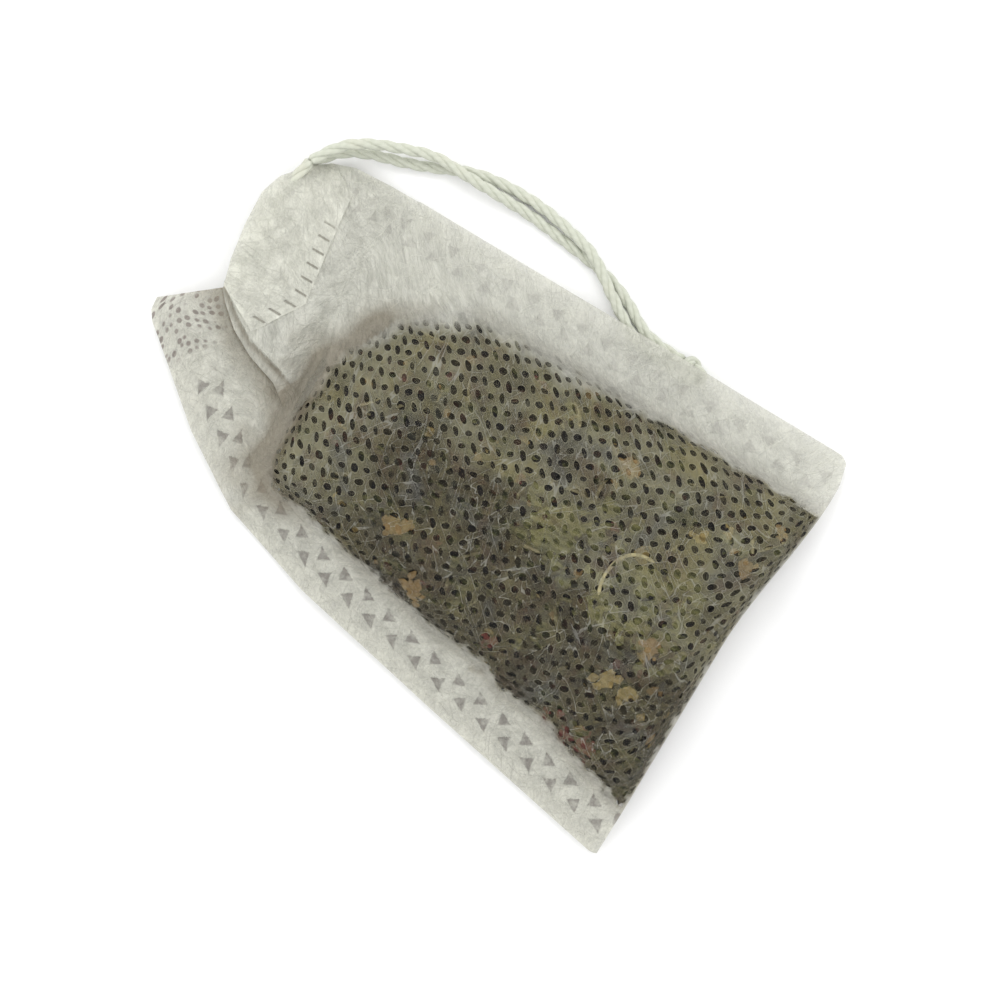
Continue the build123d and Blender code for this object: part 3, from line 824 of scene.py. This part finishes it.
front_cloth = make_sheet(
    "front_cloth",
    1,
    front_cloth_look,
    ["front_sheet", "left_side_seal", "right_side_seal", "gathered_corner_front", "gathered_corner_seal"],
)
back_cloth = make_sheet("back_cloth", -1, back_cloth_look, ["back_sheet", "bottom_fold", "gathered_corner_back"])


# ---- the turned-over hems ----
def hem_line(x):
    """How high up the flap the hem is welded down."""
    return HEM_Y + np.maximum((x - HEM_BEND) * HEM_SLOPES[0], (x - HEM_BEND) * HEM_SLOPES[1])


def hem_section(y_low, y_top):
    """Outline, as y and height above the flap, of the hem's ply: up the outside, round the mouth's edge and back
    under the drawstring, which it holds."""
    inner = -1.5
    line = [(y_low, 0.05), (y_low + 0.5, 0.16), (y_top - 2.6, 0.17), (y_top - 1.2, 0.3), (y_top - 0.35, 0.16)]
    line += [(y_top + 0.02, -0.25), (y_top, -0.95), (y_top - 0.4, inner + 0.05), (y_top - 1.3, inner - 0.12)]
    line += [(y_top - 2.4, inner + 0.1), (y_top - 3.4, inner + 0.7), (y_top - 4.6, -0.35)]
    return along(rounded([np.array(point) for point in line]), np.linspace(0, 1, HEM_ROWS))


HEM_ROWS, HEM_COLUMNS = 60, 84
HEM_VEIL = 0.68


def make_hem(name, side, look, node_name):
    """The ply turned over the flap's edge, which is the channel that the drawstring runs in."""
    right_top = FRONT_RIGHT_TOP if side > 0 else BACK_RIGHT_TOP
    top = [(FLAP_LINE[-1][0], 29.5), (9.4, 30.3), (13.2, 30.9), (17.1, 31.1), (19.5, 30.4), *right_top[-2:2:-1]]
    grid = np.zeros((HEM_ROWS, HEM_COLUMNS, 3))
    for j, s in enumerate(np.linspace(0, 1, HEM_COLUMNS)):
        x_top, y_top = along(top, [s])[0]
        x_low = 3.9 + (22.0 - 3.9) * s
        y_low = min(float(hem_line(x_low)) - 0.9, 24.6)
        section = hem_section(y_low, y_top)
        climb = np.clip((section[:, 0] - y_low) / (y_top - y_low), 0, 1)
        x = x_low + (x_top - x_low) * climb
        shut = smooth((1 - s) / 0.06) * smooth(s / 0.03)
        lift = section[:, 1] * np.where(section[:, 1] < 0, shut, 1.0)
        z = read_grid(flap_grids[side], x, section[:, 0]) + side * (lift + 0.04)
        grid[:, j] = np.stack([x, section[:, 0], z], -1)
    maps = cloth_maps(grid)
    count = HEM_ROWS * HEM_COLUMNS
    state = {label: np.zeros(count) for label in CLOTH_STATE}
    state["veil"] = np.full(count, HEM_VEIL)
    faces = grid_faces(HEM_ROWS, HEM_COLUMNS, flip=side < 0)
    hem = add_mesh(name, grid.reshape(-1, 3), faces, look, maps, state)
    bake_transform(hem)
    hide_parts(node_name)
    return hem


front_hem = make_hem("front_hem_ply", 1, hem_look, "front_hem")
back_hem = make_hem("back_hem_ply", -1, back_cloth_look, "back_hem")


# ---- the twisted string ----
def string_material():
    material, tree = new_material("cotton_twist")
    turn_round, run = uv_pair(tree, "Yarn")
    at = vector(tree, turn_round * 0.6, run * 3.0)
    yarn = ((turn_round * 0.12 + run * 1.1) * (2 * pi)).math("SINE") * 0.5 + 0.5
    fluff = noise(tree, at, 2.2, 4.0, 0.8)
    place = node(tree, "ShaderNodeTexCoord", 3)
    worn = noise(tree, place, 260.0, 3.0)
    colour = mix_colour(tree, yarn * 0.35 + fluff * 0.3, (0.5, 0.52, 0.43), (0.6, 0.615, 0.53))
    colour = mix_colour(tree, worn.ramp(0.52, 0.75) * 0.35, colour, (0.62, 0.6, 0.5))
    normal = bump(tree, yarn * 0.6 + fluff * 0.9, 0.00006, 0.9)
    put_out(tree, principled(tree, colour, 0.82, normal, 0.25, Sheen_Weight=0.25))
    return material


string_look = string_material()


def frames(line):
    """Two sideways directions at each point of a line, turned as little as possible."""
    ahead = np.gradient(line, axis=0)
    ahead /= np.linalg.norm(ahead, axis=1)[:, None]
    side = np.cross(ahead[0], (0.0, 0.0, 1.0))
    if np.linalg.norm(side) < 0.1:
        side = np.cross(ahead[0], (1.0, 0.0, 0.0))
    sides = []
    for a in ahead:
        side = side - a * side.dot(a)
        side /= np.linalg.norm(side)
        sides.append(side)
    sides = np.array(sides)
    return sides, np.cross(ahead, sides)


def tube(line, radius, around=8):
    """Points, faces and yarn coordinates of a closed tube along a line."""
    side, other = frames(line)
    angles = np.linspace(0, 2 * pi, around, endpoint=False)
    ring = side[:, None] * np.cos(angles)[None, :, None] + other[:, None] * np.sin(angles)[None, :, None]
    width = np.full(len(line), radius)
    width[0] = width[-1] = radius * 0.5
    points = (line[:, None] + ring * width[:, None, None]).reshape(-1, 3)
    run = np.repeat(lengths(line), around)
    yarn = np.stack([np.tile(angles / (2 * pi) * 10, len(line)), run], -1) / 100.0
    faces = grid_faces(len(line), around, wrap=True)
    last = (len(line) - 1) * around
    faces += [tuple(range(around))[::-1], tuple(range(last, last + around))]
    return points, faces, yarn


PLIES, PLY_LAY, PLY_OFFSET, PLY_RADIUS = 3, 6.0, 0.29, 0.335


def rope(name, line, start=0.0):
    """Plies twisted along a line."""
    side, other = frames(line)
    run = lengths(line)
    parts, yarn = [], []
    for ply in range(PLIES):
        angle = 2 * pi * (run / PLY_LAY + ply / PLIES) + start
        offset = side * np.cos(angle)[:, None] + other * np.sin(angle)[:, None]
        *part, coordinates = tube(line + PLY_OFFSET * offset, PLY_RADIUS)
        parts.append(part)
        yarn.append(coordinates)
    return add_mesh(name, *merged(parts), string_look, {"Yarn": np.concatenate(yarn)})


def spline_points(name, route):
    """Points of the NURBS spline through a route's control points, in mm."""
    curve = bpy.data.curves.new(name, "CURVE")
    curve.dimensions = "3D"
    curve.resolution_u = 18
    spline = curve.splines.new("NURBS")
    spline.points.add(len(route) - 1)
    for point, place in zip(spline.points, route):
        point.co = (*[c * MM for c in place], 1.0)
    spline.order_u = 3
    spline.use_endpoint_u = True
    holder = bpy.data.objects.new(name, curve)
    mesh = bpy.data.meshes.new_from_object(holder)
    points = np.array([v.co for v in mesh.vertices]) / MM
    bpy.data.objects.remove(holder)
    return points


# control points of the string's splines. FLOOR is a strand's middle where it lies on the floor, OVER where it
# crosses the other strand.
FLOOR, OVER = 0.605, 1.905
OUTER_ROUTE = [
    (22.5, 28.4, 4.325), (25.3, 27.0, 3.9), (27.4, 24.2, 3.0), (28.8, 20.9, 2.2), (30.0, 17.4, OVER),
    (29.8, 13.5, OVER), (29.8, 9.5, 1.3), (29.8, 5.6, FLOOR), (29.3, 1.6, FLOOR), (28.9, -2.0, FLOOR),
    (28.3, -5.3, FLOOR), (27.1, -8.2, FLOOR), (25.4, -10.8, FLOOR), (24.9, -13.5, 0.75), (24.9, -16.2, 1.1),
]
INNER_ROUTE = [
    (22.5, 28.4, 2.475), (25.0, 26.7, 1.8), (26.6, 23.7, 1.2), (27.6, 20.2, 0.75), (28.9, 16.8, FLOOR),
    (30.6, 13.3, FLOOR), (31.2, 9.4, FLOOR), (31.2, 5.4, FLOOR), (30.6, 1.6, 1.2), (29.7, -2.2, OVER),
    (27.6, -5.0, OVER), (25.8, -7.8, 1.4), (24.0, -10.7, 0.8), (23.5, -13.6, 0.75), (23.7, -16.2, 1.1),
]
IN_HEM_ROUTE = [
    (22.5, 28.4, 4.325), (20.9, 28.9, 4.35), (18.5, 28.8, 4.33), (14.0, 28.4, 4.33), (10.0, 28.5, 4.33),
    (7.9, 28.4, 4.3), (6.7, 28.4, 3.4), (7.9, 28.4, 2.5), (10.0, 28.3, 2.47), (14.0, 28.5, 2.47), (18.5, 28.4, 2.47),
    (20.9, 28.6, 2.47), (22.5, 28.4, 2.475),
]
KNOT_AT, KNOT_SIZE = (24.3, -17.6, 1.35), (0.36, 0.42, 0.62)


def make_knot():
    """A small overhand knot."""
    t = np.linspace(0, 2 * pi, 90, endpoint=False)
    loop = np.stack([np.sin(t) + 2 * np.sin(2 * t), np.cos(t) - 2 * np.cos(2 * t), -np.sin(3 * t)], -1)
    line = loop * KNOT_SIZE + np.array(KNOT_AT)
    return rope("pull_knot_tied", np.concatenate([line, line[:1]]))


knot = make_knot()
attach(knot, "pull_loop")
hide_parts("pull_knot")
for name, route, node_name, length in (
    ("pull_rope_outer", OUTER_ROUTE, "pull_strand_outer", 0.0485),
    ("pull_rope_inner", INNER_ROUTE, "pull_strand_inner", 0.0492),
):
    line = spline_points(name, route)
    strand = rope(name, line, start=0.7 if name.endswith("outer") else 2.4)
    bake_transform(strand)
    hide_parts(node_name)
in_hem = rope("drawstring_rope", spline_points("in_hem", IN_HEM_ROUTE))
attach(in_hem, "drawstring")
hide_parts("drawstring_in_hem")


# ---- the herbs ----
def herb_material(name, dark, light, accent, roughness=0.8, veins=0.0):
    """Dried plant: mottled between two colours, with each piece its own shade."""
    material, tree = new_material(name)
    place = node(tree, "ShaderNodeTexCoord", 3)
    tone = attribute(tree, "tone")
    spots = noise(tree, place, 1500.0, 4.0, 0.4)
    streaks = node(tree, "ShaderNodeTexWave", 0, Vector=place, Scale=420.0, Distortion=6.0, Detail=2.0)
    share = (tone * 0.75 + (spots - 0.5) * 0.9 + (streaks - 0.5) * (0.15 + veins)).math("ADD", 0.05, clamp=True)
    colour = mix_colour(tree, share, dark, light)
    colour = mix_colour(tree, spots.ramp(0.6, 0.78) * 0.5, colour, accent)
    normal = bump(tree, spots + streaks * 0.4, 0.0002, 0.7)
    put_out(tree, principled(tree, colour, roughness, normal, 0.3))
    return material


chance = np.random.default_rng(11)


def surface_point(x, y, side):
    """Height of the fill's front (side 1) or back (side -1)."""
    return float(read_grid(herb_grids[side], np.asarray(x), np.asarray(y)))


def surface_normal(x, y, side):
    step = 0.5
    dx = surface_point(x + step, y, side) - surface_point(x - step, y, side)
    dy = surface_point(x, y + step, side) - surface_point(x, y - step, side)
    return Vector((-dx * side, -dy * side, 2 * step)).normalized() * side


def flake(size, stretch, thick, corners, curl):
    """Points and faces of one bent, ragged flake of dried leaf, lying in its own plane."""
    angles = np.sort((np.arange(corners) + chance.uniform(-0.3, 0.3, corners)) / corners * 2 * pi)
    reach = size * chance.uniform(0.68, 1.12, corners)
    outer = np.stack([reach * np.cos(angles) * stretch, reach * np.sin(angles) / stretch], -1)
    rings = [outer * 0.5, outer]
    points = [(0.0, 0.0, thick)]
    for share, ring in zip((0.8, 0.0), rings):
        lift = curl * (ring[:, 0] ** 2) / size - 0.5 * curl * (ring[:, 1] ** 2) / size
        points += [(x, y, z + thick * share) for (x, y), z in zip(ring, lift + chance.uniform(-0.05, 0.05, corners))]
    points.append((0.0, 0.0, -thick))
    faces = []
    for k in range(corners):
        n = (k + 1) % corners
        faces.append((0, 1 + k, 1 + n))
        faces.append((1 + k, 1 + corners + k, 1 + corners + n, 1 + n))
        faces.append((1 + 2 * corners, 1 + corners + n, 1 + corners + k))
    return np.array(points), faces


def sliver(length, radius, bend):
    """One bent stalk."""
    t = np.linspace(-0.5, 0.5, 7)
    line = np.stack([t * length, bend * length * (0.25 - t**2), t * 0], -1)
    points, faces, _ = tube(line, radius, 6)
    return points, faces


def place_piece(points, x, y, side, sink, tilt, spin):
    """Lays a piece on the fill, turned by spin, tilted at random and sunk into it."""
    z = surface_point(x, y, side)
    up = surface_normal(x, y, side)
    up = (up + Vector(chance.uniform(-tilt, tilt, 3))).normalized()
    turn_to = up.to_track_quat("Z", "Y").to_matrix() @ Matrix.Rotation(spin, 3, "Z")
    return points @ np.array(turn_to).T + np.array((x, y, z)) - np.array(up) * sink


def scatter(count):
    """Random places in the fill."""
    x, y = chance.uniform(-19.0, 18.3, 6 * count), chance.uniform(-35.0, 15.6, 6 * count)
    keep = np.flatnonzero(inside_fill(x, y) > 0.1)[:count]
    return list(zip(x[keep], y[keep]))


# a pale stem that lies in an arc on the fill
STEM_ARC = [(-1.0, -21.0), (0.4, -20.5), (1.7, -20.5), (3.2, -20.8), (4.3, -21.6), (4.9, -22.8), (4.9, -24.2)]
# node, slot, kind, how many in front and behind, smallest and largest size; dark, light and accent colour
HERBS = [
    ("green_leaf_flakes", "green_leaf", "leaf", 290, 90, (0.5, 1.3),
     (0.012, 0.014, 0.004), (0.125, 0.12, 0.045), (0.18, 0.165, 0.085)),
    ("dark_leaf_flakes", "dark_leaf", "leaf", 560, 190, (0.6, 1.5),
     (0.002, 0.0018, 0.002), (0.018, 0.013, 0.009), (0.035, 0.026, 0.024)),
    ("grey_leaf_flakes", "grey_leaf", "leaf", 200, 90, (0.5, 1.3),
     (0.014, 0.0135, 0.009), (0.065, 0.063, 0.044), (0.12, 0.115, 0.085)),
    ("bark_chips", "bark", "chip", 260, 80, (0.5, 1.1),
     (0.01, 0.005, 0.003), (0.06, 0.028, 0.012), (0.11, 0.06, 0.025)),
    ("stem_pieces", "stem", "stem", 60, 30, (1.6, 4.2),
     (0.04, 0.033, 0.015), (0.36, 0.32, 0.18), (0.42, 0.38, 0.24)),
    ("yellow_petals", "yellow_petal", "leaf", 50, 16, (0.3, 0.8),
     (0.09, 0.063, 0.02), (0.25, 0.19, 0.075), (0.32, 0.27, 0.13)),
    ("orange_peel_chips", "orange_peel", "chip", 30, 12, (0.3, 0.8),
     (0.09, 0.055, 0.02), (0.25, 0.17, 0.075), (0.32, 0.25, 0.13)),
    ("red_petals", "red_petal", "leaf", 44, 16, (0.4, 0.9),
     (0.035, 0.01, 0.009), (0.13, 0.038, 0.03), (0.13, 0.06, 0.07)),
    ("seeds", "seed", "seed", 70, 40, (0.28, 0.5),
     (0.006, 0.004, 0.003), (0.035, 0.022, 0.013), (0.06, 0.045, 0.026)),
]
# pieces that stand out: x, y, size and stretch. Each is a cluster of flakes.
SPECIAL_FLAKES = 7
SPECIAL = {
    "yellow_petals": [
        (5.0, -22.6, 1.3, 1.2), (9.4, -26.7, 1.0, 1.0), (-8.4, -26.4, 1.5, 1.2),
        (-8.2, -28.7, 1.3, 1.3), (-13.5, -14.9, 1.2, 1.2), (11.8, -28.6, 0.9, 1.1),
    ],
    "orange_peel_chips": [
        (12.3, -16.6, 1.4, 1.15), (-5.8, 1.0, 1.7, 1.1), (-10.7, -4.0, 1.6, 1.25),
        (9.3, -32.0, 1.5, 1.2), (-3.2, -28.8, 1.5, 1.2), (14.2, -33.4, 1.1, 1.1),
    ],
    "red_petals": [
        (-15.3, -23.4, 1.3, 1.2), (-15.6, -25.4, 1.2, 1.3), (-15.2, -27.4, 1.3, 1.2),
        (-11.0, -13.8, 1.1, 1.4), (-16.0, -28.6, 1.0, 1.2),
    ],
}


def herb_pieces(name, kind, front, behind, sizes):
    """All the loose pieces of one kind of herb, as points, faces and a shade for each point."""
    parts, tones = [], []
    jobs = [(x, y, side, None, None) for count, side in ((front, 1), (behind, -1)) for x, y in scatter(count)]
    for x, y, size, stretch in SPECIAL.get(name, []):
        jobs.append((x, y, 1, size * 0.62, stretch))
        for _ in range(SPECIAL_FLAKES):
            at = chance.normal(0.0, 0.42 * size, 2)
            jobs.append((x + at[0], y + at[1], 1, size * chance.uniform(0.28, 0.55), stretch))
    for cx, cy, radius in LEAF_HEAPS if name == "green_leaf_flakes" else []:
        for _ in range(int(1.5 * radius**2)):
            angle, reach = chance.uniform(0, 2 * pi), radius * chance.uniform(0, 1) ** 0.5
            jobs.append((cx + reach * cos(angle), cy + reach * sin(angle), 1, chance.uniform(0.6, 1.5), None))
    for x, y, side, size, stretch in jobs:
        special = size is not None
        size = size or chance.uniform(*sizes)
        stretch = stretch or chance.uniform(1.0, 1.45)
        spin = chance.uniform(0, 2 * pi)
        if kind == "leaf":
            shape = flake(size, stretch, 0.05, int(chance.integers(7, 12)), chance.uniform(-0.25, 0.1))
        elif kind == "chip":
            shape = flake(size, stretch, 0.22, int(chance.integers(5, 8)), chance.uniform(-0.1, 0.05))
        elif kind == "seed":
            shape = flake(size, 1.2, size * 0.8, 8, 0.0)
        else:
            shape = sliver(size, chance.uniform(0.13, 0.24), chance.uniform(-0.5, 0.5))
        sink = chance.uniform(0.0, 0.08) if special else chance.uniform(0.05, 0.45)
        tilt = 0.05 if special else 0.28
        placed = place_piece(shape[0], x, y, side, sink, tilt, spin)
        side_cap(placed, side)
        parts.append((placed, shape[1]))
        dim = 0.3 * (x < 3.0 - 0.2 * abs(y + 8)) * (y < 8)
        zone = 0.55 + 0.4 * float(waves(np.array(x), np.array(y), 6.0, 91)) - dim
        tone = chance.uniform(0.5, 0.95) if special else min(max(chance.uniform(0.0, 0.75) * zone, 0.0), 1.0)
        tones += [tone] * len(placed)
    if kind == "stem":
        arc = along(rounded([np.array(point) for point in STEM_ARC]), np.linspace(0, 1, 24))
        line = np.array([(x, y, surface_point(x, y, 1) + 0.3) for x, y in arc])
        placed, shape_faces, _ = tube(line, 0.2, 6)
        side_cap(placed, 1)
        parts.append((placed, shape_faces))
        tones += [1.2] * len(placed)
    return *merged(parts), tones


def edge_room(y):
    """How much of its height the fill keeps next to the bottom fold, where the two plies meet."""
    return np.interp(y, (BOTTOM, -34.92, -34.64, -34.36, -34.08), (0.0, 0.25, 0.5, 0.75, 1.0))


def side_cap(points, side):
    """Keeps a piece under the cloth and inside the fold."""
    x, y = points[:, 0], points[:, 1]
    if side > 0:
        top = read_grid(front_grid, x, y) - 0.06 - 0.3 * bell(inside_fill(x, y) - 0.2, 0.8)
        points[:, 2] = np.minimum(points[:, 2], top)
    else:
        points[:, 2] = np.maximum(points[:, 2], read_grid(back_grid, x, y) + 0.06)
    points[:, 1] = np.maximum(y, -35.1)
    seam = read_grid(seam_grid, x, y)
    points[:, 2] = seam + (points[:, 2] - seam) * edge_room(points[:, 1])


for name, slot, kind, front, behind, sizes, dark, light, accent in HERBS:
    look = herb_material(name, dark, light, accent, 0.6 if kind == "seed" else 0.8, 0.3 if kind == "leaf" else 0.0)
    points, faces, tones = herb_pieces(name, kind, front, behind, sizes)
    group = add_mesh(name + "_loose", slanted(points), faces, look, None, {"tone": tones}, kind in ("stem", "seed"))
    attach(group, "pouch")
    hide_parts(name)


def make_bed():
    """The fine herb under the larger pieces: a lumpy closed mound."""
    step = 0.45
    xs, ys = np.arange(-19.0, 19.01, step), np.arange(-35.05, 15.5, step)
    x, y = np.meshgrid(xs, ys)
    inside = inside_fill(x, y)
    keep = inside > 0.05
    rough = 0.16 * waves(x, y, 1.3, 71, 40) + 0.1 * waves(x, y, 0.8, 72, 40)
    top = seam_height(x, y) + np.maximum(herb_height(x, y, FRONT_RISE) - 0.28 + rough, 0.02) * edge_room(y)
    drop = np.maximum(herb_height(x, y, BACK_DROP) - 0.3 + rough, 0.02) * edge_room(y)
    low = np.maximum(seam_height(x, y) - drop, 0.3)
    index = np.full(keep.shape, -1)
    index[keep] = np.arange(keep.sum())
    count = int(keep.sum())
    points = np.concatenate([np.stack([x[keep], y[keep], z[keep]], -1) for z in (top, low)])
    faces, edges = [], []
    for i in range(keep.shape[0] - 1):
        for j in range(keep.shape[1] - 1):
            quad = (index[i, j], index[i, j + 1], index[i + 1, j + 1], index[i + 1, j])
            if min(quad) >= 0:
                faces.append(quad)
                faces.append(tuple(q + count for q in quad[::-1]))
                edges += zip(quad, quad[1:] + quad[:1])
    both_ways = set(edges)
    for a, b in edges:
        if (b, a) not in both_ways:
            faces.append((b, a, a + count, b + count))
    return points, faces


bed_points, bed_faces = make_bed()
bed_look = herb_material("fine_herb_bed", (0.003, 0.0025, 0.0015), (0.04, 0.034, 0.018), (0.09, 0.075, 0.042))
bed_state = {"tone": np.full(len(bed_points), 0.45)}
bed = add_mesh("fine_herb_mound", slanted(bed_points), bed_faces, bed_look, None, bed_state)
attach(bed, "pouch")
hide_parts("herb_bed")

# ---- floor and light ----
FLOOR_HALF = 2000.0
floor_look, floor_tree = new_material("pale_floor")
put_out(floor_tree, node(floor_tree, "ShaderNodeBsdfDiffuse", Color=(0.9, 0.9, 0.9, 1.0)))
floor_corners = [(x * FLOOR_HALF, y * FLOOR_HALF, 0) for x, y in ((-1, -1), (1, -1), (1, 1), (-1, 1))]
floor = add_mesh("floor", floor_corners, [(0, 1, 2, 3)], floor_look, smooth_shading=False)

world = bpy.data.worlds.new("studio")
world.use_nodes = True
world.node_tree.nodes["Background"].inputs["Color"].default_value = (1.0, 1.0, 1.0, 1.0)
world.node_tree.nodes["Background"].inputs["Strength"].default_value = 1.22
scene.world = world


def soft_light(name, place, size, power):
    lamp = bpy.data.lights.new(name, "AREA")
    lamp.shape = "DISK"
    lamp.size = size
    lamp.energy = power
    holder = bpy.data.objects.new(name, lamp)
    scene.collection.objects.link(holder)
    holder.location = place
    holder.rotation_euler = (LOOK_AT - Vector(place)).to_track_quat("-Z", "Y").to_euler()


soft_light("key", (0.28, 0.26, 0.42), 0.3, 0.8)
soft_light("fill", (-0.3, -0.2, 0.5), 0.5, 0.25)
